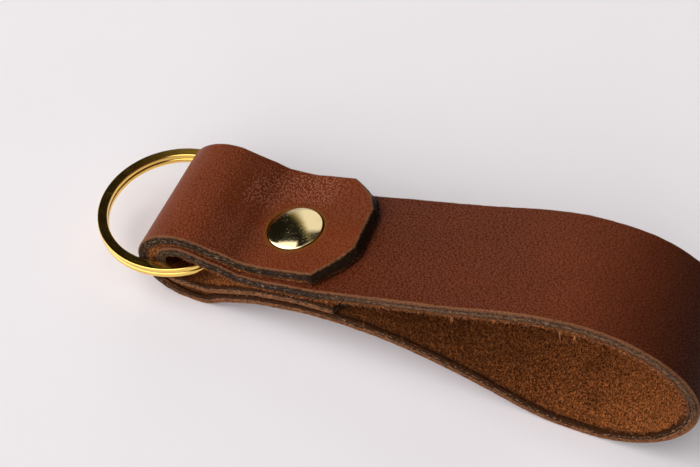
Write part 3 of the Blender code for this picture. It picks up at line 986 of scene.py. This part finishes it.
# Colours through the strap's thickness, from its grain side to its flesh side
edgeLayers = {
    "fold": [
        (0.0, "bevel"), (0.10, "bevel", 0.75), (0.17, "burnished"), (0.36, "core"),
        (0.54, "burnished"), (0.76, "core"), (0.86, "fleshOrange", 0.4), (1.0, "fringe"),
    ],
    "upper": [
        (0.0, "bevel"), (0.13, "bevel", 0.75), (0.22, "core"), (0.40, "paleCore"),
        (0.55, "paleCore"), (0.66, "core"), (0.80, "fleshOrange", 0.4), (0.96, "fringe"),
    ],
    "lower": [
        (0.0, "lowerBevel"), (0.60, "lowerBevel"), (0.68, "burnished"), (0.80, "core"),
        (0.88, "burnished"), (1.0, "burnished"),
    ],
}
edgeWear = {
    "rough": (1.9, 5.0, 0.72),
    "roughReach": 1.1,
    "streaks": (1.2, 1.2, 6.5),
    "streakPattern": (1.0, 5.0, 0.72),
    "glintStreak": (0.55, 0.64),
    "sunkStreak": (0.52, 0.44),
    "streakRelief": 0.8,
    "streakShare": (0.75, 0.58),
    "sunkDark": 0.85,
    "fibreSize": 0.34,
    "pits": (0.50, 0.38),
    "pitDark": 0.85,
    "pitTone": 0.4,
    "fringeDark": 0.96,
    "fringeGaps": (0.86, 0.38),
    "dashes": (1.1, 1.1, 5.0),
    "dashPattern": (1.0, 3.0),
    "skips": (0.53, 0.62),
    "tipShadeMottle": (0.62, 0.50, 0.35, 0.95),
    "bump": (1.0, 0.3 * mm),
    # shares of the thickness, from the grain side, and then how rough at each
    "core": [(0.14, 0.30), (0.84, 0.62)],
    "fringeFrom": (0.74, 0.88),
    "dashBand": [(0.72, 0.78), (0.92, 0.84)],
    "tipFrom": (0.04, 0.14),
    "roughness": (0.6, 0.8, 0.5, 0.95),
}


def layered(share, stops):
    return ramp(share, [(at, toned(leatherColours[colour], *more)) for at, colour, *more in stops])


def cutEdge():
    material, tree, shader = newMaterial("leatherCutEdge")
    look, tint = edgeWear, leatherColours
    place = flatMillimetres(tree)
    parts = partsOf(place)
    along = parts[0]
    fibre = useGroup(fibreClumps, Vector=place, Size=look["fibreSize"])
    ragged = times(minus(cloudy(place, *look["rough"]), 0.5), look["roughReach"])
    share = maths("DIVIDE", plus(parts[2], ragged), strapLook["thick"])
    # The loop's upper run is paler; along its lower run the grain's brown reaches far down
    upperRun, lowerRun = zoneMask(along, "upperRun"), zoneMask(along, "lowerRun")
    fold, upper, lower = (layered(share, edgeLayers[name]) for name in ("fold", "upper", "lower"))
    colour = blendColour(upperRun, fold, upper)
    colour = blendColour(highest(lowerRun, zoneMask(along, "tab")), colour, lower)
    # Streaks that the blade and the burnisher left along the edge; the pale ones are partly painted glints
    # off the burnished edge
    drawn = vectorMaths("MULTIPLY", place, look["streaks"])
    streak = cloudy(drawn, *look["streakPattern"])
    inCore = within(share, *look["core"])
    most, less = look["streakShare"]
    fewer = minus(most, times(highest(upperRun, lowerRun), less))
    pale = times(eased(streak, *look["glintStreak"]), inCore, fewer)
    colour = blendColour(pale, colour, tint["streak"])
    sunk = times(eased(streak, *look["sunkStreak"]), inCore, look["sunkDark"])
    colour = blendColour(sunk, colour, tint["burnished"])
    pitted = times(eased(fibre["Height"], *look["pits"]), look["pitDark"])
    colour = blendColour(pitted, colour, toned(tint["burnished"], look["pitTone"]))
    # The fringe of flesh is clumpy, with shadows between
    inFringe = times(eased(share, *look["fringeFrom"]), look["fringeDark"])
    between = times(eased(fibre["Clumps"], *look["fringeGaps"]), inFringe)
    colour = blendColour(between, colour, tint["fleshBrown"])
    # The lower run's core shows pale dashes where the burnisher skipped
    skips = cloudy(vectorMaths("MULTIPLY", place, look["dashes"]), *look["dashPattern"])
    inBand = within(share, *look["dashBand"])
    dashed = times(eased(skips, *look["skips"]), inBand, zoneMask(along, "dashed"), lowerRun)
    colour = blendColour(dashed, colour, tint["dash"])
    # Painted shade: the flap's cut tip faces away from the lamps and the tab's cut end lies inside the
    # loop, so both are darkened, mottled by the fibre clumps
    tip = highest(zoneMask(along, "flapTip"), zoneMask(along, "tabTip"))
    tip = times(tip, eased(share, *look["tipFrom"]), eased(fibre["Height"], *look["tipShadeMottle"]))
    colour = blendColour(tip, colour, tint["tipShade"])
    height = plus(times(streak, look["streakRelief"]), fibre["Height"])
    setShader(
        shader, Base_Color=colour, Roughness=eased(share, *look["roughness"]),
        Normal=bumped(height, *look["bump"]), Specular_IOR_Level=0.1, Specular_Tint=(1, 0.75, 0.55, 1),
    )
    return material


fleshLook = {
    "nap": (1.2, 0.85, 1.0),  # the nap lies a little along the strap
    "fibreSize": 0.40,
    "clumps": [
        (0.0, "fleshBrown", 0.6), (0.22, "fleshBrown", 1.4), (0.55, "fleshOrange", 0.45),
        (1.0, "fleshOrange"),
    ],
    "blotches": (0.16, 2.0),
    "blotchDark": (0.5, 0.7, 0.0, 0.3),
    "mouthShadeStrength": 0.50,
    "tunnelShade": 0.8,
    "rimDark": 0.9,
    "rimReach": 1.6,
    "rim": (0.75, 0.35),  # from the cut edge
    "bump": (1.0, 0.6 * mm),
}


def fleshSide():
    material, tree, shader = newMaterial("leatherFlesh")
    look, tint = fleshLook, leatherColours
    brown = tint["fleshBrown"]
    place = flatMillimetres(tree)
    along, across = partsOf(place)[:2]
    napped = vectorMaths("MULTIPLY", place, look["nap"])
    fibre = useGroup(fibreClumps, Vector=napped, Size=look["fibreSize"])
    colour = layered(fibre["Clumps"], look["clumps"])
    broad = cloudy(place, *look["blotches"])
    colour = blendColour(eased(broad, *look["blotchDark"]), colour, brown)
    # Painted shade: deep in the loop's mouth and in the ring's tunnel the flesh is darkened
    mouthShade = times(zoneMask(along, "mouthShade", 0.0, look["mouthShadeStrength"]), zoneMask(along, "mouthShadeFrom"))
    tunnel = zoneMask(along, "tunnelTo", 0.0, look["tunnelShade"])
    tunnel = times(tunnel, zoneMask(along, "tunnelFrom"))
    colour = blendColour(highest(mouthShade, tunnel), colour, brown)
    ragged = times(minus(fibre["Height"], 0.5), look["rimReach"])
    rim = plus(maths("ABSOLUTE", across), ragged)
    rim = eased(rim, halfWidth - look["rim"][0], halfWidth - look["rim"][1])
    rim = times(rim, zoneMask(along, "mouth"), look["rimDark"])
    colour = blendColour(rim, colour, tint["burnished"])
    setShader(
        shader, Base_Color=colour, Roughness=0.95, Normal=bumped(fibre["Height"], *look["bump"]),
        Specular_IOR_Level=0.06, Sheen_Weight=0.05, Sheen_Roughness=0.5, Sheen_Tint=(1, 0.5, 0.22, 1),
    )
    return material


grainLeather, edgeLeather, fleshLeather = grainSide(), cutEdge(), fleshSide()
buildStrap()


# The cut edge's rough skin and the nap need finer faces than the strap itself
edgeLook = {
    "step": 0.18,
    "roughFrom": (0.2, 0.6),  # depth from the grain side
    # depth from the grain side and distance outwards, row by row
    "rows": [(0.2, -0.07), (0.29, 0.0)] + [(0.38 + 0.168 * i, 0.05) for i in range(12)],
    # length beyond the flesh side, as a share of the fringe's, and distance outwards
    "lip": [(0.35, 0.06), (0.7, 0.05), (1.0, 0.0), (0.6, -0.12), (-0.2, -0.3)],
    "fringe": 0.42,
    "fringeBase": 0.35,
    "fringeRange": (0.05, 2.4),
    "longest": 1.9,
    "shortest": 0.12,
    "tipFringe": 0.3,
    "byRing": 0.4,
}
napLook = {
    "step": 0.215,
    "from": 9,  # knots of the route
    "to": 16,
    "inset": 0.15,
    "relief": 0.20,
    "raised": 0.10,
    "rim": 0.4,
    "sunk": 0.03,
}


def finishSkin(skin, flat, shaped, material, flip):
    writePoints(skin.data, foldFlat(shaped))
    keepFlat(skin, np.column_stack([flat[:, :2], shaped[:, 2]]))
    mendNormals(skin, flip=flip)
    bpy.ops.object.shade_smooth()
    skin.data.materials.append(material)
    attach(skin, "strap")
    print(skin.name + ":", len(skin.data.polygons), "faces")


def buildCutEdge():
    look = edgeLook
    thick = strapLook["thick"]
    outline = cornerOutline()
    corners = np.array(outline + outline[:1])
    travelled = np.concatenate([[0], np.cumsum(np.hypot(*np.diff(corners, axis=0).T))])
    columns = round(travelled[-1] / look["step"])
    at = np.linspace(0, travelled[-1], columns + 1)
    spot = np.stack([np.interp(at, travelled, corners[:, i]) for i in range(2)], axis=1)
    along = spot[:, 0]
    ahead = np.roll(spot[:-1], -3, axis=0) - np.roll(spot[:-1], 3, axis=0)
    ahead = np.vstack([ahead, ahead[:1]])
    ahead /= np.linalg.norm(ahead, axis=1)[:, None]
    outward = np.stack([-ahead[:, 1], ahead[:, 0]], axis=1)
    fringe = lumpy(np.column_stack([spot, np.zeros(len(spot))]), "fringe") + look["fringeBase"]
    # Between the folded layers the fringe is longest, and the ring has worn it short
    long = inZone(along, "foldFringe") | inZone(along, "longFringe")
    fringe *= np.where(long, look["longest"], 1)
    fringe *= np.where(inZone(along, "shortFringe"), look["shortest"], 1)
    atTip = inZone(along, "tipFringe") & (abs(spot[:, 1]) < halfWidth - hair)
    fringe = np.clip(fringe, *look["fringeRange"]) * look["fringe"] * np.where(atTip, look["tipFringe"], 1)

    edge, lip = np.array(look["rows"]), np.array(look["lip"])
    depths = np.concatenate([edge[:, 0], np.full(len(lip), thick)])
    extra = np.concatenate([np.zeros(len(edge)), lip[:, 0]])
    offsets = np.concatenate([edge[:, 1], lip[:, 1]])
    lastRow = len(depths) - 1
    skin, share = addGrid("strapCutEdge", columns, lastRow)
    column, row = np.rint(share * [columns, lastRow]).astype(int).T
    flat = np.column_stack([spot[column], np.minimum(depths[row], thick)])
    shaped = shapeFlat(flat, np.zeros(len(flat)))
    offset = offsets[row] + lumpy(flat, "skin") * easeBetween(depths[row], *look["roughFrom"])
    offset *= np.where(inZone(along[column], "nearRing"), look["byRing"], 1)
    shaped[:, :2] += outward[column] * offset[:, None]
    shaped[:, 2] += extra[row] * fringe[column]
    finishSkin(skin, flat, shaped, edgeLeather, False)


def buildNap():
    look = napLook
    start, end = knotLengths[look["from"]], knotLengths[look["to"]]
    size = np.array([end - start, strapLook["width"] - 2 * look["inset"]])
    columns, rows = (round(length / look["step"]) for length in size)
    nap, share = addGrid("strapNap", columns, rows)
    spot = [start, 0] + (share - [0, 0.5]) * size
    flat = np.column_stack([spot, np.full(len(spot), strapLook["thick"])])
    rim = ((0.5 - abs(share - 0.5)) * size).min(axis=1)
    shaped = shapeFlat(flat, gapToOutline(flat[:, 0], flat[:, 1]))
    raised = (look["raised"] + look["relief"] * lumpy(flat, "nap")) * easeBetween(rim, 0, look["rim"])
    shaped[:, 2] += raised - look["sunk"]
    finishSkin(nap, flat, shaped, fleshLeather, True)


buildCutEdge()
buildNap()


wearLook = {
    "cloud": (350.0, 3.0),
    "specks": (5000.0, 1.0, 0.6),
    "drawn": (400.0, 5200.0, 900.0),
    "drawnPattern": (1.0, 2.0),
    "scratches": (0.60, 0.72),
    "specked": (0.45, 0.75),
    "clouded": (0.40, 0.62, 0.25, 1.0),
    "dull": (0.5, 0.75, 0.0, 0.4),
    "roughness": (0.06, 0.08),  # that the clouds and the scratches add
    "heights": (0.6, 0.25, 0.1),  # of the clouds, the specks and the scratches
    "dullTint": (0.82, 0.74, 0.62),
}


def wearGroup():
    group, take, give = newGroup(
        "handledMetal",
        [
            ("Vector", "Vector", None), ("Color", "Color", (0.8, 0.6, 0.3, 1)),
            ("Rough", "Float", 0.15), ("Haze", "Float", 0.1),
        ],
        [("Color", "Color"), ("Rough", "Float"), ("Height", "Float")],
    )
    look = wearLook
    cloud = cloudy(take["Vector"], *look["cloud"])
    speck = cloudy(take["Vector"], *look["specks"])
    drawn = vectorMaths("MULTIPLY", take["Vector"], look["drawn"])
    scratch = eased(cloudy(drawn, *look["drawnPattern"]), *look["scratches"])
    cloudRough, scratchRough = look["roughness"]
    rough = plus(plus(take["Rough"], times(cloud, cloudRough)), times(scratch, scratchRough))
    # Fingering leaves hazy specks that show in the dark reflections
    specks = times(eased(speck, *look["specked"]), eased(cloud, *look["clouded"]))
    rough = plus(rough, times(specks, take["Haze"]))
    dull = blendColour(1.0, take["Color"], look["dullTint"], "MULTIPLY")
    colour = blendColour(eased(cloud, *look["dull"]), take["Color"], dull)
    cloudHeight, speckHeight, scratchDepth = look["heights"]
    height = plus(times(cloud, cloudHeight), times(speck, speckHeight))
    height = minus(height, times(scratch, scratchDepth))
    for name, value in (("Color", colour), ("Rough", rough), ("Height", height)):
        group.links.new(value, give[name])
    return group


handledMetal = wearGroup()

metalLook = {
    "capBrass": {"colour": (0.88, 0.72, 0.41), "rough": 0.045, "relief": 0.10, "haze": 0.24},
    "rivetBrass": {"colour": (0.80, 0.60, 0.28), "rough": 0.25, "relief": 0.2, "haze": 0.2},
    "ringGold": {"colour": (1.0, 0.655, 0.165), "rough": 0.08, "relief": 0.07, "haze": 0.05},
}


def metal(name):
    look = metalLook[name]
    material, tree, shader = newMaterial(name)
    place = put(tree, "TexCoord").outputs["Object"]
    colour = opaque(look["colour"])
    worn = useGroup(handledMetal, Vector=place, Color=colour, Rough=look["rough"], Haze=look["haze"])
    bump = bumped(worn["Height"], look["relief"])
    setShader(shader, Base_Color=worn["Color"], Roughness=worn["Rough"], Metallic=1.0, Normal=bump)
    return material


capLook = {
    "radius": 5.4,
    "side": 1.16,  # from the crimped lip to where the dome starts
    "top": 1.95,
    "wall": 0.35,
    "lip": 1.2,
    "lipEdge": (0.1, 0.08),
    "rim": 0.22,  # radius of the rolled rim
    "rimSweep": 70,
    "rimSteps": 6,
    "domeSteps": 14,
    "inside": 1.05,  # height of the hollow at its wall
    "insideSteps": 6,
    "steps": 128,
    "upperAt": (-18.5, -1.3, 15.631),
    "lowerAt": (-16.418, -1.4, 7.855),
    "smooth": math.radians(50),
}


def capOutline():
    look = capLook
    outer, wall, top, rim = look["radius"], look["wall"], look["top"], look["rim"]
    lip = outer - look["lip"]
    inset, raised = look["lipEdge"]
    line = [(lip, wall), (lip, raised), (lip + inset, 0)]
    line += [(outer - wall, 0), (outer - inset, raised), (outer, wall), (outer, look["side"] - rim)]
    for step in range(1, look["rimSteps"] + 1):
        angle = math.radians(look["rimSweep"]) * step / look["rimSteps"]
        line.append((outer - rim * (1 - math.cos(angle)), look["side"] - rim * (1 - math.sin(angle))))
    edge = line[-1]
    for step in range(1, look["domeSteps"] + 1):
        radius = edge[0] * (1 - step / look["domeSteps"])
        line.append((radius, edge[1] + (top - edge[1]) * (1 - (radius / edge[0])**2)))
    line.append((0, top - wall))
    for step in range(1, look["insideSteps"] + 1):
        share = step / look["insideSteps"]
        height = look["inside"] + (top - wall - look["inside"]) * (1 - share**2)
        line.append(((outer - wall) * share, height))
    line.append((outer - wall, wall))
    return line


def latheAbout(name, outline, steps):
    dropSelection()
    bpy.ops.mesh.primitive_plane_add(size=1 * mm, location=(0, 0, 0))
    obj = bpy.context.object
    obj.name = name
    bpy.ops.object.mode_set(mode="EDIT")
    bpy.ops.mesh.select_all(action="SELECT")
    bpy.ops.mesh.merge(type="CENTER")
    bpy.ops.mesh.select_mode(type="VERT")
    bpy.ops.mesh.select_all(action="SELECT")
    first, *others = [Vector((radius, 0, height)) * mm for radius, height in outline + outline[:1]]
    bpy.ops.transform.translate(value=first)
    for start, end in zip([first] + others, others):
        bpy.ops.mesh.extrude_vertices_move(TRANSFORM_OT_translate={"value": end - start})
    bpy.ops.mesh.select_all(action="SELECT")
    bpy.ops.mesh.spin(steps=steps, angle=2 * math.pi, center=(0, 0, 0), axis=(0, 0, 1))
    mendNormals(obj, merge=seamGap)
    return obj


def buildCaps():
    lean = Matrix.Rotation(-rivetLean, 4, "Y")
    over = Matrix.Rotation(math.pi, 4, "X")
    brass = metal("capBrass")
    for name, place, turn, node in (
        ("topCap", capLook["upperAt"], lean, "rivet_top_cap"),
        ("bottomCap", capLook["lowerAt"], lean @ over, "rivet_bottom_cap"),
    ):
        cap = latheAbout(name, capOutline(), capLook["steps"])
        cap.matrix_world = Matrix.Translation(Vector(place) * mm) @ turn
        applyPlace(cap)
        cap.data.materials.append(brass)
        makeActive(cap)
        bpy.ops.object.shade_smooth_by_angle(angle=capLook["smooth"])
        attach(cap, "strap")
        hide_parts(node)
    inner = metal("rivetBrass")
    for node in ("rivet_socket", "rivet_post"):
        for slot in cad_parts[node].material_slots:
            slot.material = inner
    print("rivet caps are turned")


buildCaps()


ringLook = {
    "diameter": 31.85,
    "wireWidth": 2.0,
    "wireHeight": 1.04,
    "round": 0.15,
    "roundSteps": 4,
    "sideBulge": 0.05,
    "seam": 0.2,
    "tilt": 5.1,
    "roll": 1.5,
    # degrees round the ring: where the wire climbs to its second turn, the gap at each cut end
    "jogStart": -26.0,
    "jogSpan": 40.0,
    "endGap": 2.0,
    "nose": (-29.42, 0, 10.05),
    "step": 1.6,
    "smooth": math.radians(35),
}


def wireOutline():
    look = ringLook
    halfW, halfH, r = look["wireWidth"] / 2, look["wireHeight"] / 2, look["round"]
    rounded = []
    for sideX, sideY, start in ((1, 1, 0), (-1, 1, 90), (-1, -1, 180), (1, -1, 270)):
        for step in range(look["roundSteps"] + 1):
            angle = math.radians(start + 90 * step / look["roundSteps"])
            x = sideX * (halfW - r) + r * math.cos(angle)
            y = sideY * (halfH - r) + r * math.sin(angle)
            bulge = look["sideBulge"] * (abs(y) / halfH)**2
            rounded.append((x - math.copysign(bulge, x) * (abs(x) > halfW - r), y))
    return rounded


def newWire(name, dimensions, points, cyclic=False):
    curve = bpy.data.curves.new(name, "CURVE")
    curve.dimensions = dimensions
    spline = curve.splines.new("POLY")
    spline.points.add(len(points) - 1)
    for point, spot in zip(spline.points, points):
        point.co = (*(Vector(spot) * mm), 1)
    spline.use_cyclic_u = cyclic
    return addObject(name, curve)


def buildRing():
    look = ringLook
    section = newWire("wireSection", "2D", [(x, y, 0) for x, y in wireOutline()], cyclic=True)
    section.data.fill_mode = "NONE"

    radius = (look["diameter"] - look["wireWidth"]) / 2
    level = (look["wireHeight"] + look["seam"]) / 2
    turns = 720 - look["jogSpan"] - 2 * look["endGap"]
    climbStart = 360 - look["jogSpan"] - look["endGap"]
    steps = round(turns / look["step"])
    spots = []
    for step in range(steps + 1):
        angle = turns * step / steps
        climb = easeBetween(angle, climbStart, climbStart + look["jogSpan"])
        around = math.radians(look["jogStart"] + look["jogSpan"] + look["endGap"] + angle)
        spots.append((radius * (math.cos(around) - 1), radius * math.sin(around), level * (2 * climb - 1)))
    ring = newWire("goldRing", "3D", spots)
    ring.data.twist_mode = "Z_UP"
    ring.data.bevel_mode = "OBJECT"
    ring.data.bevel_object = section
    ring.data.use_fill_caps = True
    tilt = Matrix.Rotation(-math.radians(look["tilt"]), 4, "Y")
    roll = Matrix.Rotation(math.radians(look["roll"]), 4, "X")
    ring.matrix_world = Matrix.Translation(Vector(look["nose"]) * mm) @ (tilt @ roll)
    makeActive(ring)
    bpy.ops.object.convert(target="MESH")
    bpy.data.objects.remove(section)
    applyPlace(ring)
    mendNormals(ring, merge=seamGap)
    bpy.ops.object.shade_smooth_by_angle(angle=look["smooth"])
    ring.data.materials.clear()
    ring.data.materials.append(metal("ringGold"))
    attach(ring, "ring")
    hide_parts("split_ring")
    print("split ring:", len(ring.data.polygons), "faces")


buildRing()


fibreLook = {
    "length": (0.3, 0.85),
    "thick": 0.09,
    "point": 0.25,
    "bends": (0.35, 0.7),
    "count": 900,
    "longOnes": 24,
    "longer": 1.5,
    # where the flesh side's near edge shows: a knot, millimetres beyond it, a knot, share of the fibres
    "stretches": [(16, -18, 18, 0.5), (0, 9, 4, 0.2), (18, 0, 22, 0.2), (8, 0, 14, 0.1)],
    "edgeBand": 0.35,
    "rooted": 0.1,
    "swing": 0.9,
    "droop": (-0.5, 0.3),
    "bend": 0.3,
    # each tuft on the upper run: where along the table, how many fibres and how long
    "tufts": [(33.55, 8, 0.9), (52.3, 6, 1.7), (54.9, 7, 1.4)],
    "tuftSpread": 0.16,
    "tuftWide": 1.5,
    "tuftOut": 0.3,
    "dark": (0.14, 0.05, 0.018),
    "light": (0.42, 0.16, 0.055),
    "clump": 0.9,
    "relief": 0.3,
}


def fibreMaterial():
    material, tree, shader = newMaterial("looseFibre")
    place = scaled(put(tree, "TexCoord").outputs["Object"], 1000.0)
    fibre = useGroup(fibreClumps, Vector=place, Size=fibreLook["clump"])
    colour = ramp(fibre["Clumps"], [(0.0, fibreLook["dark"]), (1.0, fibreLook["light"])])
    bump = bumped(fibre["Height"], fibreLook["relief"])
    setShader(shader, Base_Color=colour, Roughness=0.85, Normal=bump, Specular_IOR_Level=0.2)
    return material


def placeOnStrap(length, across, depth):
    here = np.array([length, across, depth])
    spots = foldFlat(np.array([here, here + [routeStep, 0, 0], here + [0, 0, routeStep]]))
    spot, ahead, inward = (Vector(row) for row in spots)
    return spot, (ahead - spot).normalized(), (inward - spot).normalized()


def modelFibre():
    look = fibreLook
    dropSelection()
    bpy.ops.mesh.primitive_cone_add(
        vertices=4, radius1=look["thick"] * mm, radius2=look["thick"] * look["point"] * mm, depth=1 * mm,
        location=(0, 0, 0.5 * mm),
    )
    model = bpy.context.object
    bpy.ops.object.mode_set(mode="EDIT")
    for height in look["bends"]:
        bpy.ops.mesh.select_all(action="SELECT")
        bpy.ops.mesh.bisect(plane_co=(0, 0, height * mm), plane_no=(0, 0, 1))
    bpy.ops.object.mode_set(mode="OBJECT")
    applyPlace(model)
    return model


def tuftedPlaces():
    onTop = inZone(routeLengths, "tufted")
    found = []
    for place, fibres, size in fibreLook["tufts"]:
        middle = routeLengths[onTop][np.argmin(abs(routeRows[onTop, 0] - place))]
        found += [(middle + random.gauss(0, fibreLook["tuftSpread"]), size) for _ in range(fibres)]
    return found


def buildFibres():
    look = fibreLook
    model = modelFibre()
    base = readPoints(model.data)
    copies = []
    stretches = [(knotLengths[a] + more, knotLengths[b], share) for a, more, b, share in look["stretches"]]
    tufted = tuftedPlaces()
    for i in range(look["count"] + len(tufted)):
        low, high, _ = random.choices(stretches, weights=[s[2] for s in stretches])[0]
        length = random.uniform(low, high)
        size = random.uniform(*look["length"]) * (look["longer"] if i < look["longOnes"] else 1)
        across, wide = -halfWidth + random.uniform(0, look["edgeBand"]), 1
        if i >= look["count"]:
            (length, size), wide = tufted[i - look["count"]], look["tuftWide"]
            across -= look["tuftOut"]
        spot, ahead, inward = placeOnStrap(length, across, strapLook["thick"] - look["rooted"])
        swing = ahead * random.uniform(-look["swing"], look["swing"]) / wide**4
        aim = (inward + swing + Vector((0, random.uniform(*look["droop"]), 0))).normalized()
        bend = Vector([random.uniform(-1, 1) for _ in range(3)]) * look["bend"] * size * mm
        copy = addObject("fibre", model.data.copy())
        turn = np.array(aim.to_track_quat("Z", "Y").to_matrix())
        share = (base[:, 2] / mm)[:, None]
        bent = np.array(spot) + share**2 * np.array(bend)
        writePoints(copy.data, (base * [wide, wide, size]) @ turn.T + bent)
        copies.append(copy)
    bpy.data.objects.remove(model)
    dropSelection()
    for copy in copies:
        copy.select_set(True)
    bpy.context.view_layer.objects.active = copies[0]
    bpy.ops.object.join()
    fibres = bpy.context.object
    fibres.name = "strapFibres"
    fibres.data.materials.append(fibreMaterial())
    bpy.ops.object.shade_smooth()
    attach(fibres, "strap")
    print("fibres:", len(fibres.data.polygons), "faces")


buildFibres()
